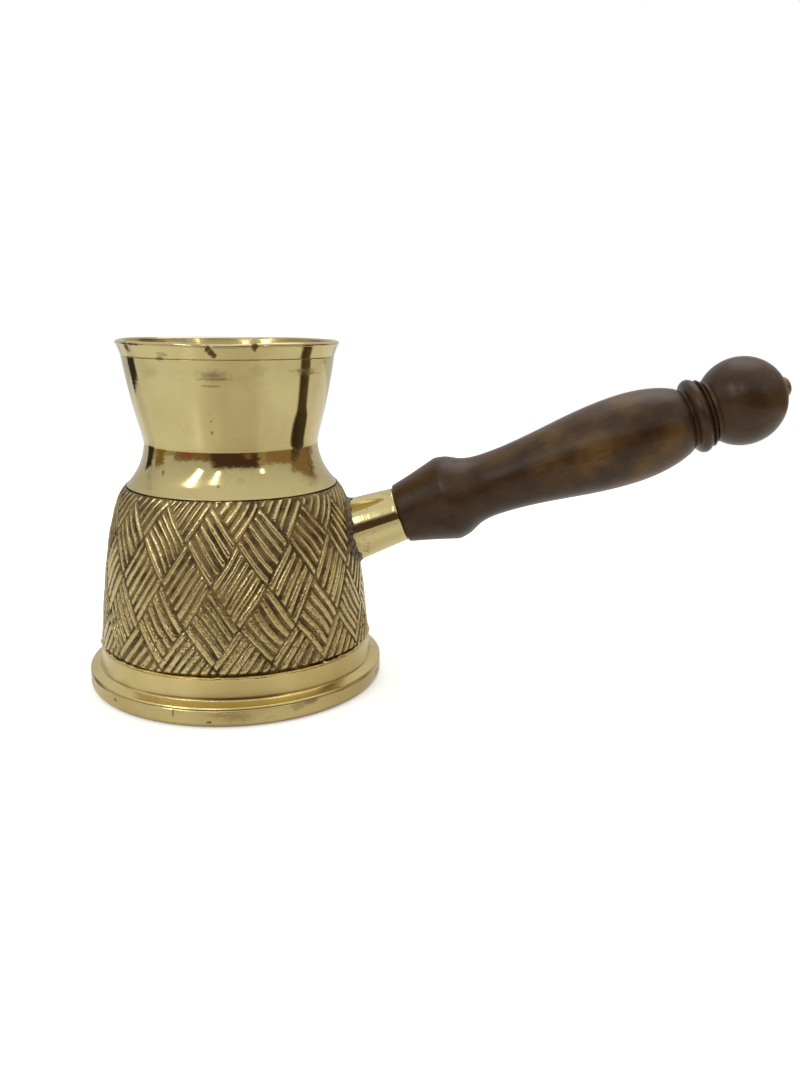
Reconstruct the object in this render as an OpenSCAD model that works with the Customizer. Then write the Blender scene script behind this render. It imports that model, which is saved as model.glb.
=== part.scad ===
// Turkish coffee pot (cezve): cast brass pot with a patterned band, thick base disc,
// soldered handle socket and a turned wooden handle held by a rod along its middle.
// Origin: centre of the resting face. +Z is up and the handle points along +X.
// Sizes are in millimetres.

/* [Pot] */
// Height from the table to the rim
pot_h = 100; // [85:1:130]
// Outer diameter of the mouth
mouth_d = 62.8; // [54:0.2:80]
// Height of the lip above the scored line
lip_h = 4.6; // [3:0.2:8]
// Outer diameter at the scored line
score_d = 59.8; // [52:0.2:76]
// Outer diameter of the throat, the narrowest place
throat_d = 50; // [42:0.5:60]
// Height of the throat
throat_z = 71; // [66:0.5:76]
// Wall thickness, measured level
wall = 2.4; // [1.6:0.1:4]

/* [Patterned band] */
// Outer diameter at the top of the band
band_top_d = 61; // [54:0.5:72]
// Height of the top of the band
band_top_z = 59; // [52:0.5:62]
// Outer diameter at the bottom of the band
band_bottom_d = 79.7; // [70:0.1:96]
// Height of the bottom of the band
band_bottom_z = 13.6; // [10:0.2:20]
// Inward lean of the lower half of the band
band_lean = 1.5; // [0:0.1:4]
// Outward swell of the shoulder beyond the band's top edge
shoulder_swell = 5.9; // [3:0.1:8]
// Width of the turned groove along each edge of the band
border_w = 0.8; // [0.4:0.1:1.2]
// Depth of the turned grooves
border_depth = 0.4; // [0.2:0.1:0.8]

/* [Base] */
// Diameter of the base disc and of the foot's flange
base_d = 87; // [84:0.5:105]
// Thickness of the base disc
base_t = 5.2; // [3:0.1:8]
// Radius of the disc's lower edge
base_edge_r = 2; // [0.4:0.1:3]
// Outer diameter of the foot where it meets its flange
foot_d = 82.4; // [80:0.1:83]
// Height that the flange's top slopes up to the foot
flange_rise = 0.95; // [0.5:0.05:2]
// Thickness of the solder film between body and disc
solder_t = 0.15; // [0.1:0.05:0.3]
// Height of the disc's locating step inside the body
step_h = 1.2; // [0.6:0.1:3]
// Clearance round the locating step
step_gap = 0.1; // [0.05:0.05:0.3]

/* [Handle socket] */
// Tilt of the handle above level
handle_tilt = 19.3; // [10:0.1:26]
// Height at which the handle's axis crosses the pot's axis
handle_z = 32.5; // [28:0.5:38]
// Length of the socket along its axis, from the pot's wall
socket_l = 14.4; // [12:0.2:24]
// Outer diameter of the socket at its open end
socket_end_d = 15.9; // [15:0.1:20]
// Outer diameter of the socket at the pot's wall
socket_root_d = 18.5; // [17:0.1:24]
// Bore of the socket
socket_bore_d = 13.2; // [10:0.2:13.6]
// Bevel on the socket's open end
socket_bevel = 0.4; // [0.2:0.1:0.6]
// Reach of the solder fillet along the socket
fillet_l = 2.4; // [1.5:0.1:4]
// Spread of the solder fillet over the pot's wall
fillet_w = 1.6; // [1:0.1:3]

/* [Handle fixing] */
// Diameter of the rod through the handle
rod_d = 4; // [3:0.1:5]
// Clearance round the rod in the wood
rod_gap = 0.2; // [0.1:0.05:0.4]
// Distance of the anchor plug from the pot's wall
anchor_gap = 1.8; // [1.6:0.1:3]
// Thickness of the anchor plug in the socket
anchor_t = 4.6; // [3:0.1:5]
// Depth of the rod in the anchor plug
anchor_grip = 3.6; // [2:0.1:4]
// Diameter of the domed nut at the handle's end
nut_d = 5.8; // [5.4:0.1:7]
// Length of the nut's straight side
nut_side = 2.2; // [1.5:0.1:3]
// Rise of the nut's dome
dome_rise = 1.6; // [1:0.1:2.4]
// Depth of the rod in the nut
nut_grip = 1.8; // [1:0.1:2]
// Diameter of the washer under the nut
washer_d = 6.2; // [5.8:0.1:7.4]
// Thickness of the washer
washer_t = 0.6; // [0.4:0.1:1]

/* [Wooden handle] */
// Length of the tenon in the socket
tenon_l = 7; // [4:0.5:10]
// Clearance round the tenon
tenon_gap = 0.1; // [0.05:0.05:0.3]
// Diameter of the wood where it meets the socket
collar_d = 17.5; // [17:0.1:22]
// Distance from the socket to the shoulder's crest
shoulder_s = 14.3; // [10:0.1:20]
// Diameter of the shoulder's crest
shoulder_d = 25; // [20:0.1:32]
// Distance from the socket to the waist
waist_s = 28; // [25:0.5:34]
// Diameter of the waist
waist_d = 18.5; // [15:0.1:24]
// Distance from the socket to the belly's fullest place
belly_s = 69; // [60:0.5:76]
// Diameter of the belly
belly_d = 26; // [22:0.1:34]
// Distance from the socket to the groove behind the belly
groove_s = 87.8; // [84:0.1:96]
// Diameter in the grooves each side of the bead
groove_d = 16.4; // [13:0.1:18]
// Diameter of the bead
bead_d = 21.8; // [20:0.1:24]
// Width of the bead
bead_w = 4.5; // [4:0.1:7]
// Diameter of the fine ring beside the bead
ring_d = 20; // [18.4:0.1:21]
// Width of the fine ring
ring_w = 0.9; // [0.6:0.1:1.6]
// Width of the groove between the fine ring and the neck
cove_w = 0.6; // [0.4:0.1:1.5]
// Diameter of the neck that carries the ball
neck_d = 18.2; // [16:0.1:20]
// Width of the neck
neck_w = 1; // [0.6:0.1:2]
// Diameter of the ball at the handle's end
ball_d = 25.5; // [22:0.1:30]

/* [Hidden] */
$fn = 96;

brass = [0.79, 0.69, 0.42];
solder = [0.60, 0.59, 0.56];
steel = [0.66, 0.67, 0.69];
walnut = [0.27, 0.18, 0.12];

diagonal = sqrt(0.5);
seam_bevel = 0.2;
lip_edge_r = 0.5;
score_w = 0.4;
score_depth = 0.2;
cut_over = 6;
cope_lap = 5;
fillet_lap = 3;
tenon_bevel = 0.8;
collar_bevel = 0.4;
edge_round = 0.3;

// Where the turned curves of the wooden handle set off from their ends, [radius, length]
cone_start = [1.2, 5.4];
cone_end = [0.6, 1.7];
crest_turn = [-0.1, 2.4];
tail_turn = [2.4, -2.2];
waist_pull = 0.62;
swell_pull = 0.36;
tail_pull = 0.5;

seam_z = base_t + solder_t;
score_z = pot_h - lip_h;
band_h = band_top_z - band_bottom_z;

// A cubic curve through its first and last point, drawn towards the two between them
function bezier(p, t) =
    pow(1 - t, 3) * p[0] + 3 * pow(1 - t, 2) * t * p[1] + 3 * (1 - t) * t * t * p[2] + pow(t, 3) * p[3];

function curve(p, steps) = [for (i = [0:steps]) bezier(p, i / steps)];

function arc(centre, r, from, to, steps) =
    [for (i = [0:steps]) let (a = from + (to - from) * i / steps) centre + r * [cos(a), sin(a)]];

function reversed(list) = [for (i = [len(list) - 1:-1:0]) list[i]];

// Half-sections of the pot are [radius, height]. Each pull is how much of a curve's rise
// its end keeps its own direction for: the band leans in, then rounds over the shoulder.
lean_pull = 0.31;
throat_pull = 0.3;
throat_to_neck_pull = 0.11;
neck_pull = 0.61;
neck_slope_share = 0.45;

band_curve = curve([
    [band_bottom_d / 2, band_bottom_z],
    [band_bottom_d / 2 - band_lean, band_bottom_z + lean_pull * band_h],
    [band_top_d / 2 + shoulder_swell, band_top_z - shoulder_swell],
    [band_top_d / 2, band_top_z]], 16);

neck_foot = [band_top_d / 2, band_top_z] + diagonal * border_w * [-1, 1];
throat = [throat_d / 2, throat_z];
throat_handle = throat_pull * (throat_z - neck_foot[1]);

// From the band's top edge the wall runs in at 45 degrees and turns upright at the throat.
throat_curve = curve([
    neck_foot,
    neck_foot + throat_handle * [-1, 1],
    throat - throat_handle * [0, 1],
    throat], 10);

neck_h = score_z - throat_z;
neck_w_gain = (score_d - throat_d) / 2;
score_edge = [score_d / 2, score_z];
neck_curve = curve([
    throat,
    throat + throat_to_neck_pull * neck_h * [0, 1],
    score_edge - [neck_slope_share * neck_w_gain, neck_pull * neck_h],
    score_edge], 14);

shell_curve = concat(
    band_curve,
    [[band_top_d / 2, band_top_z] + diagonal * (border_w / 2 * [-1, 1] - border_depth * [1, 1])],
    throat_curve,
    neck_curve,
    [score_edge + [-score_depth, score_w / 2], score_edge + [0, score_w]]);

foot_curve = [
    [base_d / 2 - seam_bevel, seam_z],
    [base_d / 2, seam_z + seam_bevel],
    [foot_d / 2, seam_z + flange_rise],
    [band_bottom_d / 2, band_bottom_z - border_w],
    [band_bottom_d / 2 - border_depth, band_bottom_z - border_w / 2]];

lip_out = arc([mouth_d / 2 - lip_edge_r, pot_h - lip_edge_r], lip_edge_r, 0, 90, 4);
lip_in = arc([mouth_d / 2 - wall + lip_edge_r, pot_h - lip_edge_r], lip_edge_r, 90, 180, 4);

outer_curve = concat(foot_curve, shell_curve, lip_out);

// The bore follows the plain curves of the outside, one wall thickness in.
bore_curve = [for (p = concat(band_curve, throat_curve, neck_curve)) p - [wall, 0]];
foot_bore_r = foot_d / 2 - wall;

// The handle's axis leaves the wall where its own height and the wall's radius agree.
wall_radius = [for (p = band_curve) [p[1], p[0]]];
function root_x(x, tries) =
    tries == 0 ? x : root_x(lookup(handle_z + x * tan(handle_tilt), wall_radius), tries - 1);
root_t = root_x(band_bottom_d / 2, 12) / cos(handle_tilt);
socket_t = root_t + socket_l;

socket_taper = (socket_root_d - socket_end_d) / 2 / socket_l;
function socket_r(t) = socket_end_d / 2 + socket_taper * (socket_t - t);

anchor_t0 = root_t + anchor_gap;
rod_t0 = anchor_t0 + anchor_t - anchor_grip;

// Distances along the wooden handle are measured from the socket's open end.
bead_s = groove_s + bead_w / 2;
ring_s = groove_s + bead_w;
neck_s = ring_s + ring_w + cove_w;
ball_s = neck_s + neck_w + sqrt(pow(ball_d, 2) - pow(neck_d, 2)) / 2;
ball_end_s = ball_s + ball_d / 2;
seat_s = ball_end_s - nut_side - washer_t;
nut_s = seat_s + washer_t;
rod_end_s = nut_s + nut_grip;
counterbore_d = washer_d + 2 * rod_gap;

module along_handle(distance) {
    translate([0, 0, handle_z])
        rotate([0, 90 - handle_tilt, 0])
            translate([0, 0, distance])
                children();
}

// Outside of the pot as a filled solid, for pieces that are shaped to its wall
module pot_envelope() {
    rotate_extrude()
        polygon(concat([[0, seam_z]], outer_curve, [[0, pot_h]]));
}

module pot_body() {
    color(brass)
        rotate_extrude()
            polygon(concat(
                [[foot_bore_r, seam_z]],
                outer_curve,
                lip_in,
                reversed(bore_curve),
                [[foot_bore_r, seam_z + flange_rise]]));
}

module base_disc() {
    step_r = foot_bore_r - step_gap;
    color(brass)
        rotate_extrude()
            polygon(concat(
                [[0, 0]],
                arc([base_d / 2 - base_edge_r, base_edge_r], base_edge_r, -90, 0, 6),
                [[base_d / 2, base_t - seam_bevel], [base_d / 2 - seam_bevel, base_t],
                 [step_r, base_t], [step_r, base_t + step_h], [0, base_t + step_h]]));
}

module base_solder() {
    color(solder)
        translate([0, 0, base_t])
            difference() {
                cylinder(h = solder_t, r = base_d / 2 - seam_bevel);
                translate([0, 0, -solder_t])
                    cylinder(h = 3 * solder_t, r = foot_bore_r);
            }
}

module handle_socket() {
    color(brass)
        difference() {
            along_handle(0)
                rotate_extrude()
                    polygon([
                        [socket_bore_d / 2, root_t - cope_lap],
                        [socket_r(root_t - cope_lap), root_t - cope_lap],
                        [socket_r(socket_t - socket_bevel), socket_t - socket_bevel],
                        [socket_end_d / 2 - socket_bevel, socket_t],
                        [socket_bore_d / 2, socket_t]]);
            pot_envelope();
        }
}

module socket_solder() {
    color(solder)
        difference() {
            along_handle(0)
                rotate_extrude()
                    polygon([
                        [socket_r(root_t - fillet_lap), root_t - fillet_lap],
                        [socket_r(root_t) + fillet_w, root_t - fillet_lap],
                        [socket_r(root_t) + 0.35 * fillet_w, root_t + 0.2 * fillet_l],
                        [socket_r(root_t + fillet_l), root_t + fillet_l]]);
            pot_envelope();
        }
}

module rod_anchor() {
    color(brass)
        along_handle(anchor_t0)
            difference() {
                cylinder(h = anchor_t, d = socket_bore_d);
                translate([0, 0, anchor_t - anchor_grip])
                    cylinder(h = cut_over, d = rod_d);
            }
}

module tie_rod() {
    color(steel)
        along_handle(rod_t0)
            cylinder(h = socket_t + rod_end_s - rod_t0, d = rod_d);
}

module wooden_handle() {
    collar = [collar_d / 2, collar_bevel];
    crest = [shoulder_d / 2, shoulder_s];
    waist = [waist_d / 2, waist_s];
    belly = [belly_d / 2, belly_s];
    groove = [groove_d / 2, groove_s];
    cone = curve([collar, collar + cone_start, crest - cone_end, crest], 8);
    hollow = curve([crest, crest + crest_turn, waist - waist_pull * (waist_s - shoulder_s) * [0, 1],
                    waist], 10);
    swell = curve([waist, waist + swell_pull * (belly_s - waist_s) * [0, 1],
                   belly - swell_pull * (belly_s - waist_s) * [0, 1], belly], 14);
    tail = curve([belly, belly + tail_pull * (groove_s - belly_s) * [0, 1],
                  groove + tail_turn, groove], 10);
    bead = [for (a = [-75:15:75])
                [(groove_d + (bead_d - groove_d) * cos(a)) / 2, bead_s + bead_w / 2 * sin(a)]];
    ring = [[groove_d / 2, ring_s], [ring_d / 2 - edge_round, ring_s],
            [ring_d / 2, ring_s + ring_w / 2], [ring_d / 2 - edge_round, ring_s + ring_w],
            [groove_d / 2, neck_s - cove_w / 2]];
    neck = [[neck_d / 2 - edge_round, neck_s], [neck_d / 2, neck_s + neck_w / 2],
            [neck_d / 2 - edge_round, neck_s + neck_w]];
    ball = arc([0, ball_s], ball_d / 2, -acos(neck_d / ball_d) + 1, 75, 20);
    color(walnut)
        along_handle(socket_t)
            difference() {
                rotate_extrude()
                    polygon(concat(
                        [[0, -tenon_l],
                         [socket_bore_d / 2 - tenon_gap - tenon_bevel, -tenon_l],
                         [socket_bore_d / 2 - tenon_gap, -tenon_l + tenon_bevel],
                         [socket_bore_d / 2 - tenon_gap, 0],
                         [collar_d / 2 - collar_bevel, 0]],
                        cone, hollow, swell, tail, bead, ring, neck, ball,
                        [[0, ball_end_s]]));
                translate([0, 0, -tenon_l - cut_over])
                    cylinder(h = tenon_l + ball_end_s + 2 * cut_over, d = rod_d + 2 * rod_gap);
                translate([0, 0, seat_s])
                    cylinder(h = cut_over, d = counterbore_d);
            }
}

module rod_washer() {
    color(steel)
        along_handle(socket_t + seat_s)
            difference() {
                cylinder(h = washer_t, d = washer_d);
                translate([0, 0, -washer_t])
                    cylinder(h = 3 * washer_t, d = rod_d);
            }
}

module end_nut() {
    color(brass)
        along_handle(socket_t + nut_s)
            difference() {
                rotate_extrude()
                    polygon(concat(
                        [[0, 0], [nut_d / 2, 0]],
                        [for (a = [0:9:90]) [nut_d / 2 * cos(a), nut_side + dome_rise * sin(a)]]));
                translate([0, 0, -cut_over])
                    cylinder(h = cut_over + nut_grip, d = rod_d);
            }
}

pot_body();
base_disc();
base_solder();
handle_socket();
socket_solder();
rod_anchor();
tie_rod();
wooden_handle();
rod_washer();
end_nut();
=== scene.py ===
import math

import bpy
import numpy as np
from mathutils import Matrix, Vector


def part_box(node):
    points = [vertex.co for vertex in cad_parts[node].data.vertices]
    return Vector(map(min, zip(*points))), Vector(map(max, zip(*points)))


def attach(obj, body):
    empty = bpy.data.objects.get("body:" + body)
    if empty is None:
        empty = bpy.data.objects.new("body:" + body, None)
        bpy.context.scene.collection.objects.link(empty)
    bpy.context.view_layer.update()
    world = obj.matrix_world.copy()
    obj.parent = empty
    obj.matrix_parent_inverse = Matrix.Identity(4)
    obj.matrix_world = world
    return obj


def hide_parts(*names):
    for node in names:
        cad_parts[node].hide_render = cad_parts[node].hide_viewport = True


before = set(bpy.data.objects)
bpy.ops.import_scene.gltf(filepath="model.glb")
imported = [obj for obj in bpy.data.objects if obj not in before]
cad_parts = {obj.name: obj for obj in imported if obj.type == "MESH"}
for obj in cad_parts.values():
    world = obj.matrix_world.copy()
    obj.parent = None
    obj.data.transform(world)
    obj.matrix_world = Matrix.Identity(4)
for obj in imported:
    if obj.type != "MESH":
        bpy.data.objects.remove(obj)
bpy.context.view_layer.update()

# ---------------------------------------------------------------------------------------------
# Camera. It stands close in front of the pouring side, a little towards the handle, and looks
# down on the rim with a wide lens, as somebody at the table does.
# ---------------------------------------------------------------------------------------------
pot_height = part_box("pot_body")[1].z
eye = [share * pot_height for share in (0.4937, -2.7366, 1.0740)]
look_down = math.radians(13.83)
head_tilt = math.radians(0.63)

camera_data = bpy.data.cameras.new("camera")
camera_data.sensor_fit = "VERTICAL"
camera_data.sensor_height = 36
camera_data.lens = 31.02
camera_data.clip_start = 0.01
camera = bpy.data.objects.new("camera", camera_data)
camera.matrix_world = (Matrix.Translation(eye)
                       @ Matrix.Rotation(math.pi / 2 - look_down, 4, "X")
                       @ Matrix.Rotation(head_tilt, 4, "Z"))
bpy.context.scene.collection.objects.link(camera)
bpy.context.scene.camera = camera
bpy.context.scene.view_settings.view_transform = "Standard"


# ---------------------------------------------------------------------------------------------
# Room. A white table in a white tent. The tent is open low down, where a brown room shows as a
# broken dark line that only the polished brass picks up. Three soft boxes hang in front and a
# broad one behind.
# ---------------------------------------------------------------------------------------------
def plug(tree, node, **sockets):
    """Fills a node's sockets, named with _ for a space or as s0, s1 by their place. Another
    node's socket is linked to them, and anything else becomes their value."""
    for name, value in sockets.items():
        by_place = name[0] == "s" and name[1:].isdigit()
        socket = node.inputs[int(name[1:]) if by_place else name.replace("_", " ")]
        if isinstance(value, bpy.types.NodeSocket):
            tree.links.new(value, socket)
        else:
            socket.default_value = value


def add(tree, kind, settings=None, **sockets):
    """Adds a shader node with its properties, in settings, and its sockets."""
    made = tree.nodes.new("ShaderNode" + kind)
    for name, value in (settings or {}).items():
        setattr(made, name, value)
    plug(tree, made, **sockets)
    return made


def calc(tree, operation, a, b=0.0):
    """One function of one or two values."""
    return add(tree, "Math", {"operation": operation}, s0=a, s1=b).outputs[0]


def plus(tree, a, b):
    """The sum of two values."""
    return calc(tree, "ADD", a, b)


def minus(tree, a, b):
    """The first value less the second."""
    return calc(tree, "SUBTRACT", a, b)


def times(tree, a, b):
    """The product of two values."""
    return calc(tree, "MULTIPLY", a, b)


def larger(tree, a, b):
    """The larger of two values."""
    return calc(tree, "MAXIMUM", a, b)


def ease(tree, value, start, end, low=0.0, high=1.0):
    """Goes from low to high in an S-shaped slope while value goes from start to end."""
    settings = {"interpolation_type": "SMOOTHSTEP"}
    return add(tree, "MapRange", settings, Value=value, From_Min=start, From_Max=end,
               To_Min=low, To_Max=high).outputs[0]


def blend_colours(tree, share, first, second, how="MIX"):
    """Share 0 gives the first colour and share 1 the second, or the two multiplied together."""
    settings = {"data_type": "RGBA", "blend_type": how, "clamp_factor": True}
    return add(tree, "Mix", settings, s0=share, s6=first, s7=second).outputs[2]


def noise(tree, vector, scale, detail=3.0, roughness=0.5):
    """Soft random clouds, 0 to 1, with scale in clouds to the metre."""
    return add(tree, "TexNoise", {"noise_dimensions": "3D"}, Vector=vector, Scale=scale,
               Detail=detail, Roughness=roughness).outputs[0]


def vector_calc(tree, operation, a, b):
    """One function of two vectors, worked out part by part."""
    return add(tree, "VectorMath", {"operation": operation}, s0=a, s1=b).outputs[0]


def length_of(tree, vector):
    """How long a vector is."""
    return add(tree, "VectorMath", {"operation": "LENGTH"}, s0=vector).outputs["Value"]


def stretch(tree, vector, x, y, z):
    """Multiplies the three parts of a vector."""
    return vector_calc(tree, "MULTIPLY", vector, (x, y, z))


world = bpy.data.worlds.new("tent")
bpy.context.scene.world = world
world.use_nodes = True
sky = world.node_tree
sky.nodes.clear()
towards = add(sky, "TexCoord").outputs["Generated"]
parts = add(sky, "SeparateXYZ", s0=towards)
height = parts.outputs["Z"]
forward = times(sky, parts.outputs["Y"], -1.0)
around = calc(sky, "ARCTAN2", parts.outputs["X"], forward)
grid = add(sky, "CombineXYZ", X=times(sky, around, 3.2),
           Y=times(sky, height, 11.0)).outputs[0]
ragged = minus(sky, noise(sky, grid, 2.2, 4.0, 0.6), 0.5)
ragged_around = plus(sky, around, times(sky, ragged, 0.5))
other_ragged = minus(sky, noise(sky, stretch(sky, grid, 1.7, 1.7, 1), 2.2, 4.0, 0.6), 0.5)
ragged_height = plus(sky, height, times(sky, other_ragged, 0.42))
tent_share = ease(sky, height, 0.1, 0.9)
surround = blend_colours(sky, tent_share, (0.66, 0.66, 0.64, 1), (0.90, 0.89, 0.86, 1))
# What stands in the gap: from and to in degrees round from the front, its top as the sine of
# its rise, and its colour. Later ones stand in front of the earlier ones.
room = [(-122, 140, 0.03, (0.42, 0.34, 0.22, 1)), (-102, -86, 0.22, (0.26, 0.17, 0.05, 1)),
        (-68, -26, 0.17, (0.27, 0.19, 0.11, 1)), (-56, -40, 0.10, (0.34, 0.10, 0.085, 1)),
        (-28, -12, 0.20, (0.26, 0.14, 0.085, 1)), (-17, 46, 0.42, (0.085, 0.046, 0.034, 1)),
        (26, 34, 0.14, (0.26, 0.14, 0.10, 1)), (44, 62, 0.33, (0.44, 0.34, 0.22, 1)),
        (54, 100, 0.28, (0.34, 0.23, 0.13, 1)), (92, 134, 0.42, (0.30, 0.20, 0.11, 1)),
        (-112.5, -110.5, 0.62, (0.14, 0.11, 0.08, 1)), (124, 127, 0.56, (0.10, 0.10, 0.10, 1))]
in_room = 0.0
soft_side, soft_top = 1.5, 0.03
for start, end, top, colour in room:
    after_start = ease(sky, ragged_around, math.radians(start - soft_side), math.radians(start + soft_side))
    before_end = ease(sky, ragged_around, math.radians(end + soft_side), math.radians(end - soft_side))
    below_top = ease(sky, ragged_height, top + soft_top, top - soft_top)
    share = times(sky, times(sky, after_start, before_end), below_top)
    surround = blend_colours(sky, share, surround, colour)
    in_room = larger(sky, in_room, share)
mottled = ease(sky, noise(sky, grid, 6.0, 4.0, 0.65), 0.35, 0.65, 0.55, 1.65)
surround = blend_colours(sky, in_room, surround, mottled, "MULTIPLY")
seen_surround = add(sky, "Background", Color=surround, Strength=1.0).outputs[0]
plain_white = add(sky, "Background", Color=(1, 1, 1, 1), Strength=1.0).outputs[0]
straight = add(sky, "LightPath").outputs["Is Camera Ray"]
either = add(sky, "MixShader", s0=straight, s1=seen_surround, s2=plain_white).outputs[0]
add(sky, "OutputWorld", Surface=either)

table_radius = 0.55
table_sides = 96
below_pot = 0.00002
table_turns = np.linspace(0, 2 * math.pi, table_sides, endpoint=False)
table_ring = np.stack([table_radius * np.cos(table_turns), table_radius * np.sin(table_turns),
                       np.full(table_sides, -below_pot)], axis=1)
table_mesh = bpy.data.meshes.new("table")
table_mesh.from_pydata(table_ring.tolist(), [], [list(range(table_sides))])
table = bpy.data.objects.new("table", table_mesh)
bpy.context.scene.collection.objects.link(table)
table_paint = bpy.data.materials.new("table_white")
table_paint.use_nodes = True
paint = table_paint.node_tree
paint_shader = paint.nodes["Principled BSDF"]
# Looked at straight it is a little overexposed, as on a light table. In the brass it shows as
# the glossy sheet it is, with the soft shade of whoever stands in front.
straight_look = add(paint, "LightPath").outputs["Is Camera Ray"]
on_table = add(paint, "TexCoord").outputs["Object"]
shade_middle, shade_depth = (0.055, -0.19, 0), 0.45
from_shade = length_of(paint, vector_calc(paint, "SUBTRACT", on_table, shade_middle))
shade = times(paint, ease(paint, from_shade, 0.17, 0.05),
              minus(paint, shade_depth, times(paint, straight_look, shade_depth)))
overexposed = 0.36
plug(paint, paint_shader,
     Base_Color=blend_colours(paint, shade, (0.95, 0.95, 0.935, 1), (0.52, 0.44, 0.36, 1)),
     Roughness=ease(paint, straight_look, 0, 1, 0.24, 0.6),
     Specular_IOR_Level=ease(paint, straight_look, 0, 1, 0.35, 0.2),
     Emission_Color=(1, 1, 1, 1), Emission_Strength=times(paint, straight_look, overexposed))
table_mesh.materials.append(table_paint)

# A black bag stands on the left of the table, out of the picture. The neck and throat pick it up.
bag_turn = math.radians(-115)
bag_away = 0.42
bag_half_width, bag_half_depth, bag_height = 0.062, 0.015, 0.13
bag_corners = [(x * (1 - 0.3 * (z > 0)), y, z) for z in (0, bag_height)
               for y in (-bag_half_depth, bag_half_depth) for x in (-bag_half_width, bag_half_width)]
bag_mesh = bpy.data.meshes.new("bag")
bag_mesh.from_pydata(bag_corners, [], [(0, 2, 3, 1), (4, 5, 7, 6), (0, 1, 5, 4), (1, 3, 7, 5),
                                       (3, 2, 6, 7), (2, 0, 4, 6)])
bag_mesh.transform(Matrix.Rotation(bag_turn, 4, "Z") @ Matrix.Translation((0, -bag_away, 0)))
bag = bpy.data.objects.new("bag", bag_mesh)
# It is there for the mirrors alone, and leaves no shade on the table.
bag.visible_camera = False
bag.visible_diffuse = False
bag.visible_shadow = False
bpy.context.scene.collection.objects.link(bag)
bag_cloth = bpy.data.materials.new("bag_black")
bag_cloth.use_nodes = True
plug(bag_cloth.node_tree, bag_cloth.node_tree.nodes["Principled BSDF"],
     Base_Color=(0.02, 0.018, 0.016, 1))
bag_mesh.materials.append(bag_cloth)


def direction(turn, rise):
    """Where something hangs: turned from the front towards the handle, and up, in degrees."""
    turn, rise = math.radians(turn), math.radians(rise)
    return Vector((math.sin(turn) * math.cos(rise), -math.cos(turn) * math.cos(rise), math.sin(rise)))


# Each soft box: where its two ends hang, as seen from the pot, its width and its brightness.
box_distance = 1.4
soft_boxes = {
    "box_left": ((-31, 27), (-56, 47), 0.15, 7.0),
    "box_middle": ((-8, 31), (-20, 50), 0.08, 7.0),
    "box_right": ((48, 28), (50, 34), 0.08, 7.0),
    "box_top": ((150, 49), (150, 87), 0.9, 1.5),
}
for name, (first_end, last_end, width, brightness) in soft_boxes.items():
    first_end, last_end = direction(*first_end), direction(*last_end)
    facing = (first_end + last_end).normalized()
    length = (last_end - first_end).length * box_distance
    light = bpy.data.lights.new(name, "AREA")
    light.shape = "RECTANGLE"
    light.size = width
    light.size_y = length
    light.energy = brightness * math.pi * width * length
    lamp = bpy.data.objects.new(name, light)
    long_way = (last_end - first_end).normalized()
    turned = Matrix((long_way.cross(facing), long_way, facing)).transposed().to_4x4()
    lamp.matrix_world = Matrix.Translation(facing * box_distance) @ turned
    lamp.visible_camera = False
    bpy.context.scene.collection.objects.link(lamp)

# ---------------------------------------------------------------------------------------------
# Pot. One brass casting, turned and polished in the lathe on the foot, the lower band, the
# shoulder, the throat, the neck and the lip, wiped with tin inside. The patterned band is left
# as cast, so it is made in the next section and sits in a recess of this one.
# ---------------------------------------------------------------------------------------------
mm = pot_height / 100
wall = 2.4
pot_columns = 256


def cubic(a, b, c, d, count):
    """Points of the cubic curve from a to d that sets off towards b and comes in from c. The
    last point is left out, because the next stretch starts with it."""
    t = np.linspace(0, 1, count, endpoint=False)[:, None]
    a, b, c, d = (np.array(point, float) for point in (a, b, c, d))
    return (1 - t) ** 3 * a + 3 * (1 - t) ** 2 * t * b + 3 * (1 - t) * t * t * c + t ** 3 * d


def softened(corners, reach, steps=4):
    """A line through the corners in which each inner corner becomes a parabola that leaves the
    line at the distance reach before the corner and joins it again at reach behind it."""
    corners = np.array(corners, float)
    line = [corners[:1]]
    t = np.linspace(0, 1, steps + 1)[:, None]
    for before, corner, after in zip(corners, corners[1:], corners[2:]):
        back, on = before - corner, after - corner
        start = corner + back * min(reach / np.hypot(*back), 0.45)
        end = corner + on * min(reach / np.hypot(*on), 0.45)
        line.append((1 - t) ** 2 * start + 2 * (1 - t) * t * corner + t * t * end)
    line.append(corners[-1:])
    return np.vstack(line)


def mesh_piece(name, points, triangles):
    """A piece of the object from an array of points and an array of triangles of their numbers."""
    mesh = bpy.data.meshes.new(name)
    mesh.vertices.add(len(points))
    mesh.vertices.foreach_set("co", points.astype(np.float32).ravel())
    mesh.loops.add(triangles.size)
    mesh.loops.foreach_set("vertex_index", triangles.astype(np.int32).ravel())
    mesh.polygons.add(len(triangles))
    mesh.polygons.foreach_set("loop_start", np.arange(0, triangles.size, 3, dtype=np.int32))
    mesh.polygons.foreach_set("use_smooth", np.ones(len(triangles), dtype=bool))
    mesh.update(calc_edges=True)
    piece = bpy.data.objects.new(name, mesh)
    bpy.context.scene.collection.objects.link(piece)
    return piece


def ring_triangles(rows, columns, joined_up):
    """Two triangles for each cell of a grid whose columns close into rings. If joined_up, the
    last ring also joins the first. They face outwards where rows rise and columns turn left."""
    row = np.arange(rows if joined_up else rows - 1)[:, None]
    column = np.arange(columns)[None, :]
    after = (column + 1) % columns
    above = (row + 1) % rows
    a, b = row * columns + column, row * columns + after
    c, d = above * columns + after, above * columns + column
    return np.stack([a, b, c, a, c, d], axis=-1).reshape(-1, 3)


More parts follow.
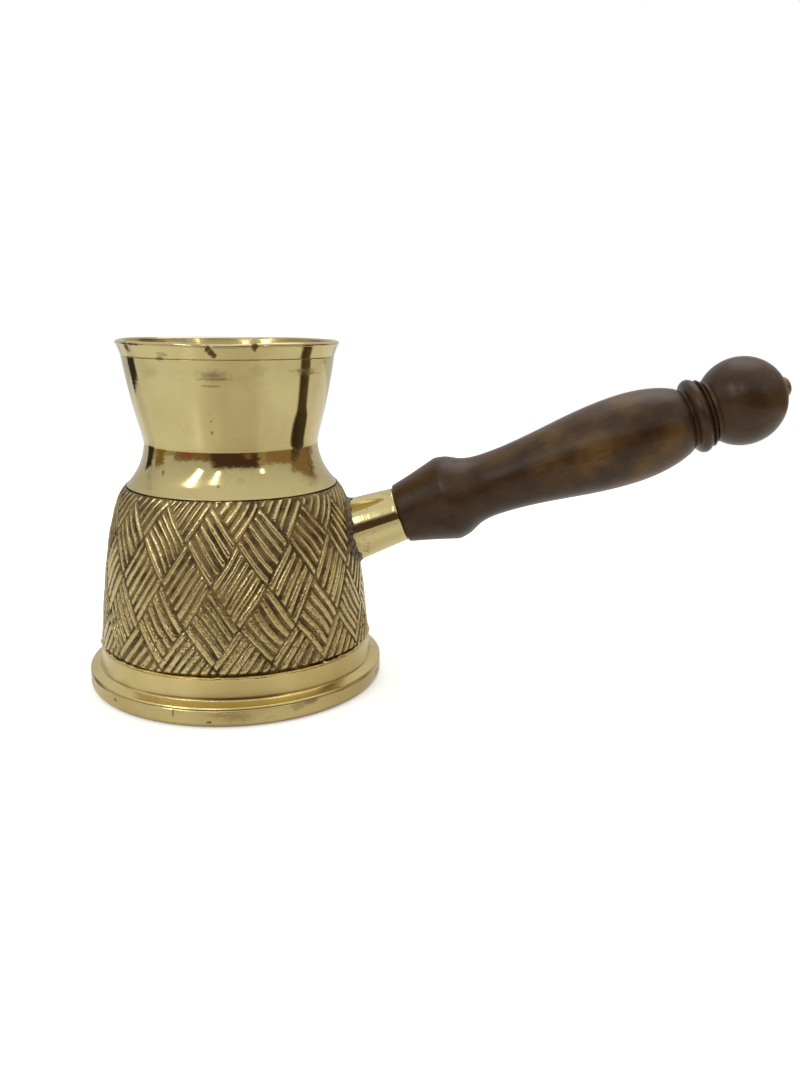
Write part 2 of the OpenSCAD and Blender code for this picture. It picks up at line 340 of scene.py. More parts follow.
def skin(name, rings, joined_up=False):
    """A closed skin over an array of rings, rings by columns by xyz. Its ends join each other,
    or each end is closed with a fan to the middle of its ring."""
    rows, columns = rings.shape[:2]
    points = rings.reshape(-1, 3)
    triangles = ring_triangles(rows, columns, joined_up)
    if not joined_up:
        poles = np.stack([rings[0].mean(0), rings[-1].mean(0)])
        column = np.arange(columns)
        after = (column + 1) % columns
        first = np.stack([np.full(columns, rows * columns), after, column], axis=1)
        top = (rows - 1) * columns
        last = np.stack([np.full(columns, rows * columns + 1), top + column, top + after], axis=1)
        points = np.vstack([points, poles])
        triangles = np.vstack([triangles, first, last])
    return mesh_piece(name, points, triangles)


def mark(piece, name, values):
    """Stores one number for each point of a piece, for its material to read."""
    attribute = piece.data.attributes.new(name, "FLOAT", "POINT")
    padded = np.zeros(len(piece.data.vertices), np.float32)
    padded[:len(values)] = values
    attribute.data.foreach_set("value", padded)


def crevices(outline, reach=2.0, depth=0.5):
    """How far each point of an outline lies in a crease: the middle of its neighbours, weighed
    by a bell curve of the width reach, less its own radius, as a share of depth."""
    along = np.concatenate([[0], np.cumsum(np.hypot(*np.diff(outline, axis=0).T))])
    step = np.gradient(along)
    weight = np.exp(-((along[:, None] - along[None, :]) / reach) ** 2) * step[None, :]
    middle = (weight @ outline) / weight.sum(1)[:, None]
    return np.clip((middle[:, 0] - outline[:, 0]) / depth, 0, 1)


def upright_rings(outline, columns):
    """Turns an outline of radius and height in millimetres round the upright axis. Column 0
    faces the pouring side and the columns go round by way of the handle."""
    turns = np.linspace(0, 2 * math.pi, columns, endpoint=False)
    radius, level = outline[:, :1], outline[:, 1:]
    return np.stack([radius * np.sin(turns), -radius * np.cos(turns),
                     level + 0 * turns], axis=-1), turns


band_foot, band_top = (39.85, 13.6), (30.9, 58.55)
band_curve = cubic(band_foot, (38.35, 27.67), (36.4, 53.1), band_top, 200)
neck_foot, throat, score = (30.35, 59.1), (25.0, 71.0), (29.9, 95.4)
throat_curve = cubic(neck_foot, (26.75, 62.7), (25.0, 67.57), throat, 40)
neck_curve = cubic(throat, (25.0, 73.68), (27.7, 80.52), score, 48)
recess_depth = 1.0
recess = band_curve[::8] - [recess_depth, 0]
foot_run = softened([(38.8, 5.28), (43.3, 5.28), (43.5, 5.5), (43.25, 5.86), (40.75, 6.5)], 0.1)
flare = cubic((40.55, 6.62), (40.2, 7.1), (39.98, 8.6), (39.86, 12.4), 24)
step_in = softened([(39.86, 12.42), (40.1, 12.66), (40.06, 12.98), (39.5, 13.2), (38.85, 13.5)], 0.12)
step_out = softened([(29.8, 58.6), (30.1, 58.8), (30.33, 59.1), (30.2, 59.26)], 0.1)
score_line = softened([(29.88, 95.3), (29.9, 95.42), (29.74, 95.55), (29.9, 95.68), (29.92, 95.8),
                       (29.99, 96.0), (30.27, 96.8), (30.7, 98.04), (30.88, 98.55), (30.95, 98.75),
                       (31.0, 98.88), (31.2, 98.95)], 0.04)
lip_turn = np.radians(np.linspace(-14, 180, 15))[:, None]
lip_radius = 0.8
lip = [30.5, 99.2] + lip_radius * np.hstack([np.cos(lip_turn), np.sin(lip_turn)])
lining = np.vstack([neck_curve[::-1], throat_curve[::-1], band_curve[::-8]]) - [wall, 0]
bore = softened([(37.45, 13.5), (37.5, 12.9), (38.8, 5.95), (38.8, 5.4)], 0.3)
outline = np.vstack([foot_run, flare, step_in, recess, step_out, throat_curve[1:], neck_curve,
                     score_line, lip, lining, bore])

rings, turns = upright_rings(outline, pot_columns)
# The pouring lip: the rim leans a little out and down in a bell curve round the pouring side.
off_front = (turns - math.radians(6) + math.pi) % (2 * math.pi) - math.pi
bell = np.exp(-(off_front / math.radians(15)) ** 2)
near_rim = np.clip((rings[..., 2] - 93) / 7, 0, 1) ** 2
lean, dip = 0.15, 0.5
rings[..., 1] -= lean * bell * near_rim
rings[..., 2] -= dip * bell * near_rim
# The rim is trued by hand, so it rises and falls by a tenth of a millimetre on its way round.
rings[..., 2] += near_rim * (0.09 * np.sin(3 * turns + 0.8) + 0.05 * np.sin(7 * turns + 2.0) - 0.14)
# The edge under the patterned band is broken and uneven from dressing the casting.
edge_height, edge_reach, edge_radius = 12.85, 0.28, 39.9
at_edge = np.exp(-((rings[..., 2] - edge_height) / edge_reach) ** 2) * (rings[..., 2] < 13.3)
knocks = np.interp(turns, np.linspace(0, 2 * math.pi, 180), np.random.default_rng(3).normal(0, 1, 180))
rings[..., :2] *= (1 + at_edge * np.clip(0.13 * knocks + 0.05, -0.22, 0.26) / edge_radius)[..., None]
rings[..., 2] += at_edge * np.clip(0.16 * np.roll(knocks, 31), -0.3, 0.3)
pot = skin("pot_casting", rings * mm, joined_up=True)
mark(pot, "crevice", np.repeat(crevices(outline), pot_columns))


def group(name, inputs, outputs):
    """A new shader node group with its named sockets, and its tree, inlet and outlet."""
    tree = bpy.data.node_groups.new(name, "ShaderNodeTree")
    for label, kind in inputs.items():
        tree.interface.new_socket(label, in_out="INPUT", socket_type="NodeSocket" + kind)
    for label, kind in outputs.items():
        tree.interface.new_socket(label, in_out="OUTPUT", socket_type="NodeSocket" + kind)
    return tree, tree.nodes.new("NodeGroupInput").outputs, tree.nodes.new("NodeGroupOutput").inputs


def use(tree, shared, **sockets):
    """Places a shared group in a material's tree with its own values."""
    return add(tree, "Group", {"node_tree": shared}, **sockets).outputs


def finish_shader(name):
    """A new material: its tree, its Principled shader and the Object coordinates."""
    made = bpy.data.materials.new(name)
    made.use_nodes = True
    tree = made.node_tree
    return made, tree, tree.nodes["Principled BSDF"], add(tree, "TexCoord").outputs["Object"]


def height_of(tree, place):
    """How high a point lies, or how far along its axis."""
    return add(tree, "SeparateXYZ", s0=place).outputs[2]


def bump(tree, height, strength, distance):
    """The normal that a height gives: distance is how deep it goes, strength how much of it."""
    return add(tree, "Bump", Strength=strength, Distance=distance, Height=height).outputs[0]


# Lathe marks: fine rings, drawn by how far a point lies up the axis and out from it together.
lathe_marks, inlet, outlet = group("lathe_marks", {"Place": "Vector", "Fineness": "Float"},
                                   {"Height": "Float"})
place = add(lathe_marks, "SeparateXYZ", s0=inlet["Place"]).outputs
squares = plus(lathe_marks, times(lathe_marks, place[0], place[0]),
               times(lathe_marks, place[1], place[1]))
out_from_axis = calc(lathe_marks, "SQRT", squares)
ring_place = plus(lathe_marks, place[2], times(lathe_marks, out_from_axis, 0.8))
slow_turn = add(lathe_marks, "CombineXYZ", X=times(lathe_marks, place[0], 0.012),
                Y=times(lathe_marks, place[1], 0.012), Z=ring_place).outputs[0]
lines = noise(lathe_marks, slow_turn, inlet["Fineness"], 4.0, 0.7)
lathe_marks.links.new(lines, outlet["Height"])

# Handled brass: a slowly wandering tone, small dark specks, and brown stain left in creases.
handled_brass, inlet, outlet = group(
    "handled_brass",
    {"Place": "Vector", "Bright": "Color", "Deep": "Color", "Stain": "Color", "Crevice": "Float",
     "Specks": "Float", "Smudge": "Float"},
    {"Colour": "Color", "Roughness": "Float", "Height": "Float"})
clouds = noise(handled_brass, inlet["Place"], 45.0, 4.0, 0.55)
tone = blend_colours(handled_brass, ease(handled_brass, clouds, 0.3, 0.75), inlet["Bright"],
                     inlet["Deep"])
spots = add(handled_brass, "TexVoronoi", Vector=inlet["Place"], Scale=330.0).outputs[0]
spot_size = times(handled_brass, noise(handled_brass, inlet["Place"], 90.0), inlet["Specks"])
speck = ease(handled_brass, spots, spot_size, 0.0)
film = noise(handled_brass, stretch(handled_brass, inlet["Place"], 1, 1, 2.2), 120.0, 5.0, 0.6)
film_mask = ease(handled_brass, film, 0.56, 0.78)
film_share = times(handled_brass, film_mask, inlet["Smudge"])
crease_edge = plus(handled_brass, inlet["Crevice"],
                   times(handled_brass, minus(handled_brass, film, 0.5), 0.7))
crease = ease(handled_brass, crease_edge, 0.3, 0.8)
dirt = larger(handled_brass, times(handled_brass, crease, 0.85),
              larger(handled_brass, times(handled_brass, speck, 0.8), film_share))
handled_brass.links.new(blend_colours(handled_brass, dirt, tone, inlet["Stain"]), outlet["Colour"])
handled_brass.links.new(plus(handled_brass, times(handled_brass, dirt, 0.35),
                             times(handled_brass, clouds, 0.06)), outlet["Roughness"])
handled_brass.links.new(minus(handled_brass, film, speck), outlet["Height"])

# Tarnish spot: a ragged dark patch round one point of the surface.
tarnish_spot, inlet, outlet = group(
    "tarnish_spot", {"Place": "Vector", "Centre": "Vector", "Flatten": "Vector", "Radius": "Float"},
    {"Mask": "Float"})
away = vector_calc(tarnish_spot, "SUBTRACT", inlet["Place"], inlet["Centre"])
distance = length_of(tarnish_spot, vector_calc(tarnish_spot, "MULTIPLY", away, inlet["Flatten"]))
crumbs = noise(tarnish_spot, inlet["Place"], 800.0, 4.0, 0.65)
ragged_edge = plus(tarnish_spot, -0.35, times(tarnish_spot, crumbs, 2.3))
wiped_lines = noise(tarnish_spot, stretch(tarnish_spot, inlet["Place"], 0.1, 0.1, 1), 2200.0, 2.0)
ragged_edge = plus(tarnish_spot, ragged_edge, times(tarnish_spot, wiped_lines, 0.35))
reach = times(tarnish_spot, inlet["Radius"], ragged_edge)
# A big spot is a thin film that fades out, a small one is crusted and has an edge.
fade_from = minus(tarnish_spot, 0.85, times(tarnish_spot, inlet["Radius"], 260.0))
tarnish_spot.links.new(ease(tarnish_spot, calc(tarnish_spot, "DIVIDE", distance, reach), 1.0, fade_from),
                       outlet["Mask"])

bright_brass = (0.66, 0.535, 0.24, 1)
deep_brass = (0.57, 0.445, 0.18, 1)
brass_stain = (0.10, 0.055, 0.022, 1)


def stain_mask(tree, place, stains, radius_at):
    """How dark a list of stains makes each point. A stain is its turn from the pouring side in
    degrees, its height, its radius, how far it is squeezed across and upwards, and how dark it
    is. It sits on the surface, whose radius at a height is radius_at of that height."""
    mask = 0.0
    for turn, level, radius, across, tall, dark in stains:
        turn, out = math.radians(turn), radius_at(level)
        centre = (out * math.sin(turn) * mm, -out * math.cos(turn) * mm, level * mm)
        spot = use(tree, tarnish_spot, Place=place, Centre=centre, Radius=radius * mm,
                   Flatten=(across, across, tall))["Mask"]
        mask = larger(tree, mask, times(tree, spot, dark))
    return mask


polished, tree, shader, place = finish_shader("polished_brass")
crevice = add(tree, "Attribute", {"attribute_name": "crevice"}).outputs["Fac"]
up_pot = height_of(tree, place)
# The brass colour is made darker from 20 mm up to 60 mm up the pot.
darker_higher_up = ease(tree, up_pot, 20 * mm, 60 * mm)
brass = use(tree, handled_brass, Place=place,
            Bright=blend_colours(tree, darker_higher_up, bright_brass, (0.58, 0.485, 0.235, 1)),
            Deep=blend_colours(tree, darker_higher_up, deep_brass, (0.49, 0.40, 0.18, 1)),
            Stain=brass_stain, Crevice=crevice, Specks=0.16, Smudge=0.16)
rings_height = use(tree, lathe_marks, Place=place, Fineness=1500.0)["Height"]
pot_stains = [(0.3, 98.3, 1.1, 1.0, 0.9, 0.92), (1.7, 97.4, 1.2, 1.0, 0.9, 0.95),
              (3.0, 96.6, 1.0, 1.0, 0.9, 0.92), (-50, 98.3, 1.4, 0.8, 0.8, 0.95),
              (-42, 99.0, 1.1, 0.3, 2.6, 0.85), (22.5, 98.9, 1.1, 1.0, 0.7, 0.9),
              (-26, 95.6, 1.1, 0.6, 1.6, 0.6), (-24, 96.7, 1.3, 0.6, 1.6, 0.35),
              (1.5, 91.6, 3.2, 0.6, 1.5, 0.55), (2.5, 90.6, 2.8, 0.45, 4.0, 0.6),
              (0.5, 88.8, 1.6, 0.45, 4.0, 0.45), (24.5, 92.8, 2.2, 0.7, 0.9, 0.14),
              (52, 92.5, 3.0, 0.4, 4.0, 0.42), (56, 91.6, 2.6, 0.4, 4.0, 0.42),
              (-34, 92.0, 2.6, 0.6, 1.2, 0.13), (-1, 79.5, 0.4, 1.0, 1.0, 0.6),
              (-1.2, 76.4, 0.5, 1.0, 0.8, 0.6), (1.8, 62.4, 0.5, 1.0, 1.0, 0.7),
              (14.9, 63.8, 1.2, 0.8, 1.0, 0.12), (-34.6, 64.9, 0.8, 1.2, 0.6, 0.6),
              (49, 98.0, 0.5, 1.0, 1.0, 0.5), (118, 93.5, 2.5, 0.5, 1.4, 0.5),
              (203, 88, 3.0, 0.4, 1.4, 0.35), (160, 96, 1.2, 0.8, 1.0, 0.8),
              (262, 79, 2.0, 0.5, 1.2, 0.4)]
outer_line = np.vstack([throat_curve, neck_curve, [(31.1, 99.2)]])
spots = stain_mask(tree, place, pot_stains,
                   lambda level: np.interp(level, outer_line[:, 1], outer_line[:, 0]))
near_foot = ease(tree, up_pot, 40 * mm, 13 * mm, 0.035, 0.16)
on_shoulder = times(tree, ease(tree, up_pot, 66 * mm, 61 * mm),
                    ease(tree, up_pot, 50 * mm, 58 * mm, 0, 0.10))
coarser = plus(tree, near_foot, on_shoulder)
fine = plus(tree, times(tree, brass["Height"], 0.3), rings_height)
plug(tree, shader, Metallic=1.0, Tangent=(0, 0, 1), Anisotropic=0.75,
     Base_Color=blend_colours(tree, spots, brass["Colour"], (0.075, 0.040, 0.014, 1)),
     Roughness=plus(tree, plus(tree, brass["Roughness"], coarser), times(tree, spots, 0.3)),
     Normal=bump(tree, fine, 0.06, 0.0002))

tinned, tree, shader, place = finish_shader("wiped_tin")
wiped = noise(tree, stretch(tree, place, 1, 1, 0.35), 260.0, 5.0, 0.6)
dulled = noise(tree, place, 70.0, 4.0, 0.6)
tin = blend_colours(tree, ease(tree, dulled, 0.3, 0.7), (0.55, 0.55, 0.53, 1), (0.36, 0.35, 0.33, 1))
plug(tree, shader, Metallic=1.0, Roughness=ease(tree, wiped, 0.2, 0.8, 0.24, 0.5),
     Base_Color=blend_colours(tree, ease(tree, wiped, 0.55, 0.75), tin, (0.62, 0.6, 0.55, 1)),
     Normal=bump(tree, wiped, 0.25, 0.0003))

pot.data.materials.append(polished)
pot.data.materials.append(tinned)
# Just inside the rim the tin is wiped off, so the first rows of the lining stay brass.
bare_rows = 6
brass_rows = len(outline) - len(lining) - len(bore) + bare_rows
row_of_face = np.repeat(np.arange(len(outline)), pot_columns * 2)
pot.data.polygons.foreach_set("material_index", (row_of_face >= brass_rows).astype(np.int32))
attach(pot, "root")
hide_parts("pot_body")

# ---------------------------------------------------------------------------------------------
# Patterned band. The same casting, left with its basket weave: sixteen lozenges round the
# belly, each cut with five or six ridges that run the other way in the next row. The ridges
# are rubbed bright, and the grooves keep a brown patina and the pits of the casting sand.
# ---------------------------------------------------------------------------------------------
random = np.random.default_rng(7)
lozenges = 16
cells = 22
band_columns = lozenges * 2 * cells
row_levels = [-3 / cells, 0, 1, 2, 3, 4, 4 + 4 / cells]
row_heights = [58.86, 57.6, 48.4, 37.3, 25.5, 15.4, 13.4]
rise = np.arange(-3, 4 * cells + 5) / cells
turn = np.arange(band_columns) / (2 * cells)
rise, turn = np.meshgrid(rise, turn, indexing="ij")


def wander(waves, strength):
    """A smooth random swell over the band: a sum of waves that close round the pot, each with
    its own number of crests round and up, phase and direction."""
    total = 0 * rise
    for _ in range(waves):
        crests_round = random.integers(2, 14)
        crests_up = random.uniform(-2.2, 2.2)
        phase = random.uniform(0, 2 * math.pi)
        total += np.sin(2 * math.pi * (turn / lozenges * crests_round + rise / 4 * crests_up) + phase)
    return strength * total / math.sqrt(waves)


def slope(value, start, end):
    """0 at start, 1 at end, an S-shaped curve between."""
    t = np.clip((value - start) / (end - start), 0, 1)
    return t * t * (3 - 2 * t)


def ridges(turn, rise):
    """The weave's height, 0 in a groove to 1 on a ridge. With p = turn + rise / 2 and
    q = turn - rise / 2, each lozenge is one unit square of p and q. Its ridges follow p where
    its two whole numbers differ by an even count and q where they differ by an odd one. A ridge
    is a rounded step across, with a soft end at each side of the lozenge."""
    p, q = turn + rise / 2, turn - rise / 2
    whole_p, whole_q = np.floor(p).astype(int), np.floor(q).astype(int)
    leans_right = (whole_p - whole_q) % 2 == 0
    column = (whole_p + whole_q) % (2 * lozenges)
    row = whole_p - whole_q + 1
    across = np.where(leans_right, p - whole_p, q - whole_q)
    along = np.where(leans_right, q - whole_q, p - whole_p)
    count = random.choice([5, 5, 6], size=(2 * lozenges, 12))[column, row]
    bend = random.normal(0, 0.035, (2 * lozenges, 12))[column, row]
    across = across + bend * np.sin(math.pi * along) * np.sin(math.pi * across)
    lane = across * (count - 0.26) + 0.13
    number = np.clip(np.floor(lane), 0, count - 1).astype(int)
    own = [random.uniform(0, 1, (2 * lozenges, 12, 6))[column, row, number] for _ in range(5)]
    off_middle = np.abs(lane - number - 0.5 + 0.14 * (own[0] - 0.5))
    half_width = 0.15 + 0.13 * slope(rise, 0.6, 2.8) + 0.10 * (own[1] - 0.5)
    flank = 0.28 - 0.10 * slope(rise, 0.6, 2.8)
    step = 1 - slope(off_middle, half_width - 0.5 * flank, half_width + flank)
    starts = slope(along, -0.012 + 0.03 * own[2], 0.028 + 0.035 * own[2])
    ends = slope(1 - along, -0.012 + 0.03 * own[3], 0.028 + 0.035 * own[3])
    crown = 0.8 + 0.2 * np.sin(math.pi * np.clip(along, 0, 1))
    return step * starts * ends * crown * (0.78 + 0.22 * own[4])


relief = ridges(turn, rise)
uneven = wander(10, 0.05)
shallow = 1 - 0.35 * slope(wander(8, 0.5), 0.2, 1.0)
edge_fade = slope(rise, row_levels[0], row_levels[0] + 0.06) * slope(
    row_levels[-1] - rise, 0.0, 0.05)
# Sand pits: the peaks of a fine random grain, in the patches where the mould was coarse.
grains = random.normal(0, 1, rise.shape)
grains = (grains + np.roll(grains, 1, 1) + 0.7 * np.roll(grains, 1, 0)) / 1.6
coarse = slope(wander(12, 1.0), -0.1, 1.3) * slope(rise, 1.2, 3.0)
pits = slope(grains, 1.0 - 0.5 * coarse, 1.9) * np.maximum(coarse, 0.12)
relief = relief * (1 - 0.75 * pits)
drawn_turn = turn + wander(9, 0.020) * edge_fade
drawn_rise = rise + wander(9, 0.035) * edge_fade
level = np.interp(drawn_rise, row_levels, row_heights)
ragged_foot = slope(rise, 4.0, row_levels[-1])
level += ragged_foot * wander(14, 0.16) + (1 - slope(rise, row_levels[0], 0.1)) * wander(12, 0.07)
by_height = np.argsort(band_curve[:, 1])
out = np.interp(level, band_curve[by_height, 1], band_curve[by_height, 0])
groove_depth = 0.62
near_top = 1 - slope(rise, row_levels[0], 0.1)
proud = 0.12
out = out + proud + uneven * edge_fade
out = out - groove_depth * (1 - 0.4 * near_top) * (1 - relief * shallow * edge_fade)
angle = drawn_turn * 2 * math.pi / lozenges
face = np.stack([out * np.sin(angle), -out * np.cos(angle), level], axis=-1)[::-1]
back_outline = band_curve[::-14] - [0.9, 0]
back, _ = upright_rings(back_outline, band_columns)
band_rings = np.concatenate([face, back])
band_rows = len(band_rings)
triangles = ring_triangles(band_rows, band_columns, True).reshape(-1, 2, 3)
# Each cell is split along its own ridge, so that a ridge's edge follows the triangles' edges.
cell_rise = rise[::-1][:-1] - 0.5 / cells
cell_turn = turn[::-1][:-1] + 0.25 / cells
lean = (np.floor(cell_turn + cell_rise / 2) - np.floor(cell_turn - cell_rise / 2)) % 2 == 0
a, b, c = triangles[:, 0].T
d = triangles[:, 1, 2]
other_split = np.stack([a, b, d, b, c, d], axis=-1).reshape(-1, 2, 3)
splits_other = np.zeros(len(triangles), bool)
splits_other[:lean.size] = ~lean.ravel()
triangles = np.where(splits_other[:, None, None], other_split, triangles).reshape(-1, 3)
band = mesh_piece("woven_band", band_rings.reshape(-1, 3) * mm, triangles)
mark(band, "relief", (relief * edge_fade)[::-1].ravel())

cast, tree, shader, place = finish_shader("cast_brass")
ridge = add(tree, "Attribute", {"attribute_name": "relief"}).outputs["Fac"]
low_down = ease(tree, height_of(tree, place), 46 * mm, 20 * mm)
grain = noise(tree, place, 1700.0, 4.0, 0.65)
patches = noise(tree, place, 170.0, 3.0, 0.5)
sand = add(tree, "TexVoronoi", Vector=place, Scale=1600.0).outputs[0]
pit_size = times(tree, ease(tree, patches, 0.38, 0.60), plus(tree, 0.14, times(tree, low_down, 0.32)))
pit = ease(tree, sand, pit_size, times(tree, pit_size, 0.4))
broken = plus(tree, ridge, times(tree, minus(tree, grain, 0.5), 0.85))
rubbed = ease(tree, broken, 0.34, 0.72)
brass = use(tree, handled_brass, Place=place, Bright=(0.66, 0.545, 0.265, 1),
            Deep=(0.48, 0.375, 0.155, 1), Stain=brass_stain, Crevice=0.0, Specks=0.10, Smudge=0.4)
patina = blend_colours(tree, ease(tree, patches, 0.35, 0.65), (0.075, 0.045, 0.021, 1),
                       (0.26, 0.18, 0.075, 1))
patina = blend_colours(tree, times(tree, ease(tree, grain, 0.52, 0.68), 0.5), patina,
                       (0.42, 0.32, 0.14, 1))
weave_colour = blend_colours(tree, rubbed, patina, brass["Colour"])
rough_height = minus(tree, times(tree, grain, 0.6), pit)
rough_height = plus(tree, rough_height, times(tree, noise(tree, place, 620.0, 2.0), 1.2))
plug(tree, shader, Metallic=ease(tree, rubbed, 0.0, 0.6, 0.85, 1.0),
     Base_Color=blend_colours(tree, times(tree, pit, 0.85), weave_colour, (0.05, 0.03, 0.018, 1)),
     Roughness=plus(tree, ease(tree, rubbed, 0.0, 1.0, 0.36, 0.13), times(tree, pit, 0.2)),
     Normal=bump(tree, rough_height, 0.75, 0.00016))
band.data.materials.append(cast)
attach(band, "root")

# ---------------------------------------------------------------------------------------------
# Base. A thick turned disc that is soldered under the foot, with a rounded lower edge. The
# solder only shows as a hair line under the foot's lip.
# ---------------------------------------------------------------------------------------------
base_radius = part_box("base_disc")[1].x / mm
edge = np.radians(np.linspace(-90, 0, 9))[:, None]
round_under, floor = 2, 6.4
rounded = [base_radius - round_under, round_under] + round_under * np.hstack([np.cos(edge), np.sin(edge)])
base_outline = np.vstack([
    [(0.4, 0), (20, 0)], rounded,
    softened([(base_radius, 2.2), (base_radius, 4.82), (base_radius - 0.34, 5.2), (38.7, 5.2)], 0.12),
    [(38.65, 5.4), (38.6, floor - 0.1), (38.4, floor), (20, floor), (0.4, floor)]])
rings, turns = upright_rings(base_outline, pot_columns)
outside = np.clip((np.hypot(rings[..., 0], rings[..., 1]) - 42) / 1.5, 0, 1)
dents = 0.03 * np.sin(5 * turns + 1.0) + 0.02 * np.sin(13 * turns + 0.4)
rings[..., :2] *= (1 - (outside * (0.05 - dents) / base_radius))[..., None]
base = skin("base_plate", rings * mm)

base_brass, tree, shader, place = finish_shader("turned_base_brass")
# The lowest millimetre of the disc is made darker brown towards its bottom edge, through the crease input.
edge_line = ease(tree, height_of(tree, place), 0.9 * mm, 0.1 * mm)
brass = use(tree, handled_brass, Place=place, Bright=(0.60, 0.49, 0.225, 1),
            Deep=(0.53, 0.41, 0.17, 1), Stain=brass_stain, Crevice=times(tree, edge_line, 0.6),
            Specks=0.2, Smudge=0.35)
rings_height = use(tree, lathe_marks, Place=place, Fineness=1100.0)["Height"]
base_stains = [(9, 3.5, 3.6, 0.45, 1.5, 0.42), (4, 3.9, 2.4, 0.45, 2.2, 0.35),
               (-13.8, 4.2, 0.9, 2.4, 0.6, 0.6), (-41, 3.7, 0.6, 1.0, 1.0, 0.7),
               (-1, 1.9, 0.6, 0.6, 1.4, 0.8), (36, 5.0, 1.8, 0.5, 1.3, 0.6),
               (31, 4.2, 2.0, 0.6, 1.0, 0.4), (-65, 3.0, 3.0, 0.5, 1.4, 0.4),
               (80, 3.2, 2.6, 0.5, 1.4, 0.5), (150, 3.4, 3.0, 0.5, 1.4, 0.45),
               (230, 2.8, 2.4, 0.6, 1.4, 0.5)]
spots = stain_mask(tree, place, base_stains, lambda level: base_radius)
fine = plus(tree, times(tree, brass["Height"], 0.5), rings_height)
plug(tree, shader, Metallic=1.0, Tangent=(0, 0, 1), Anisotropic=0.6,
     Base_Color=blend_colours(tree, spots, brass["Colour"], (0.13, 0.085, 0.045, 1)),
     Roughness=plus(tree, plus(tree, brass["Roughness"], 0.14), times(tree, spots, 0.2)),
     Normal=bump(tree, fine, 0.08, 0.0002))
base.data.materials.append(base_brass)
base.data.materials.append(tinned)
# The disc's top is the pot's floor, so it is tinned like the wall. The last fan closes it too.
ring_row = np.repeat(np.arange(len(base_outline) - 1), pot_columns * 2)
first_fan, last_fan = np.zeros(pot_columns), np.full(pot_columns, len(base_outline))
floor_row = np.concatenate([ring_row, first_fan, last_fan])
floor_points = 5
floor_face = (floor_row >= len(base_outline) - floor_points).astype(np.int32)
base.data.polygons.foreach_set("material_index", floor_face)
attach(base, "root")
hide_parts("base_disc")

solder_grey, tree, shader, place = finish_shader("soft_solder")
lumps = noise(tree, place, 900.0, 4.0, 0.6)
oxide = noise(tree, place, 300.0, 3.0, 0.6)
grey = blend_colours(tree, ease(tree, lumps, 0.35, 0.7), (0.07, 0.055, 0.042, 1), (0.22, 0.185, 0.14, 1))
plug(tree, shader, Metallic=1.0, Roughness=ease(tree, lumps, 0.2, 0.8, 0.38, 0.6),
     Base_Color=blend_colours(tree, ease(tree, oxide, 0.5, 0.7), grey, (0.16, 0.085, 0.045, 1)),
     Normal=bump(tree, lumps, 0.5, 0.0002))
film_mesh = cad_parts["base_solder"].data
film_mesh.materials.clear()
film_mesh.materials.append(solder_grey)

# ---------------------------------------------------------------------------------------------
# Handle socket. A tapered brass tube, cut to the belly's curve and soldered on with soft
# solder, with a bevelled mouth that takes the wooden handle's tenon.
# ---------------------------------------------------------------------------------------------
tilt = math.radians(19.3)
handle_height = 32.5
axis = np.array([math.cos(tilt), 0, math.sin(tilt)])
side = np.array([0.0, 1.0, 0.0])
up = np.cross(axis, side)
start = np.array([0, 0, handle_height])
socket_end = 52.4
mouth_radius, root_radius, taper_length = 7.95, 9.25, 14.4


def along_handle(distance, radius, turns):
    """Points round the handle's axis, at a distance along it and a radius out from it. Turn 0
    is the side away from the pouring side and a quarter turn is the upper side."""
    out = np.multiply.outer(np.cos(turns), side) + np.multiply.outer(np.sin(turns), up)
    return start + distance[..., None] * axis + radius[..., None] * out


def root_distance(radius_at, turns):
    """How far along the axis a tapered tube meets the belly's wall, found for all turns
    together by halving the stretch that holds the meeting point."""
    near, far = np.full(len(turns), 20.0), np.full(len(turns), 50.0)
    for _ in range(30):
        middle = (near + far) / 2
        point = along_handle(middle, radius_at(middle), turns)
        wall_out = np.interp(point[:, 2], band_curve[by_height, 1], band_curve[by_height, 0])
        inside = np.hypot(point[:, 0], point[:, 1]) < wall_out
        near, far = np.where(inside, middle, near), np.where(inside, far, middle)
    return near


def socket_radius(distance):
    """The tube's outside: a straight taper from the mouth's radius to the root's."""
    return mouth_radius + (root_radius - mouth_radius) * (socket_end - distance) / taper_length


def handle_rings(outline, columns):
    """Turns an outline of radius and distance in millimetres round the handle's axis."""
    turns = np.linspace(0, 2 * math.pi, columns, endpoint=False)
    distance = outline[:, 1:] + 0 * turns
    return along_handle(distance, outline[:, :1] + 0 * turns, turns + 0 * distance[0])


columns = 128
turns = np.linspace(0, 2 * math.pi, columns, endpoint=False)
root = root_distance(socket_radius, turns)
share = np.linspace(0, 0.93, 24)
distance = root - 0.5 + share[:, None] * (socket_end - root + 0.5)
outer = along_handle(distance, socket_radius(distance), turns)
mouth_turn = np.radians(np.linspace(5, 85, 7))[:, None]
rounding, bore_radius = 0.55, 6.6
mouth_round = [7.48, socket_end - rounding] + rounding * np.hstack([np.cos(mouth_turn), np.sin(mouth_turn)])
mouth_inside = softened([(7.2, socket_end), (6.75, socket_end), (bore_radius, socket_end - 0.15),
                         (bore_radius, socket_end - 6)], 0.08)
mouth = np.vstack([mouth_round, mouth_inside])
mouth_rings = handle_rings(mouth, columns)
bore_distance = root - 0.5 + 0 * turns
bore_ring = along_handle(bore_distance, bore_radius + 0 * turns, turns)[None]
socket = skin("socket_tube", np.concatenate([outer, mouth_rings, bore_ring]) * mm, joined_up=True)


def lie_along_handle(tree, place):
    """Places measured from the foot of the handle's axis, with their third part along it."""
    return add(tree, "Mapping", {"vector_type": "TEXTURE"}, Vector=place, Location=tuple(start * mm),
               Rotation=(0, math.pi / 2 - tilt, 0)).outputs[0]


